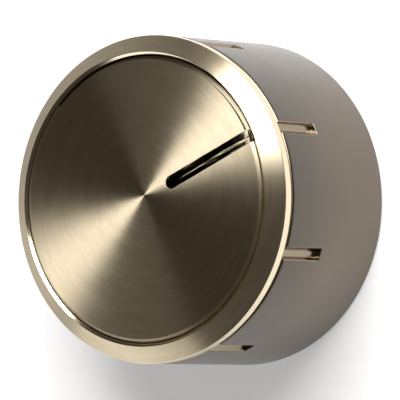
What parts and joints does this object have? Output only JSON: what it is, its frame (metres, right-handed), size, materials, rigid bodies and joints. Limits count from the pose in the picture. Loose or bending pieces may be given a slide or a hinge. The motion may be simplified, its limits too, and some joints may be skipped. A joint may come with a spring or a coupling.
{
  "type": "stove knob",
  "caption": "Round push-on cooker knob: brushed face disc with pointer groove, bevelled ring, satin grooved side, inner hub with D-shaped shaft socket.",
  "frame": {"origin": "centre of the circle that the back rim stands on", "axes": "+Z along the shaft's axis, from the back rim towards the face; +Y from the axis towards the pointer and the shaft's flat"},
  "size_m": [0.05, 0.05, 0.0282],
  "materials": {
    "satin_metal": "satin",
    "turned_steel": "polished",
    "brushed_face": "satin",
    "adhesive_film": "matte",
    "hub_plastic": "satin",
    "spring_steel": "gloss",
    "screw_steel": "gloss"
  },
  "bodies": {
    "root": {"body_shell": "satin_metal", "bezel_ring": "turned_steel", "face_disc": "brushed_face", "disc_adhesive": "adhesive_film", "inner_hub": "hub_plastic", "shaft_spring": "spring_steel", "boss_ring": "spring_steel", "hub_screws": "screw_steel"}
  },
  "joints": []
}
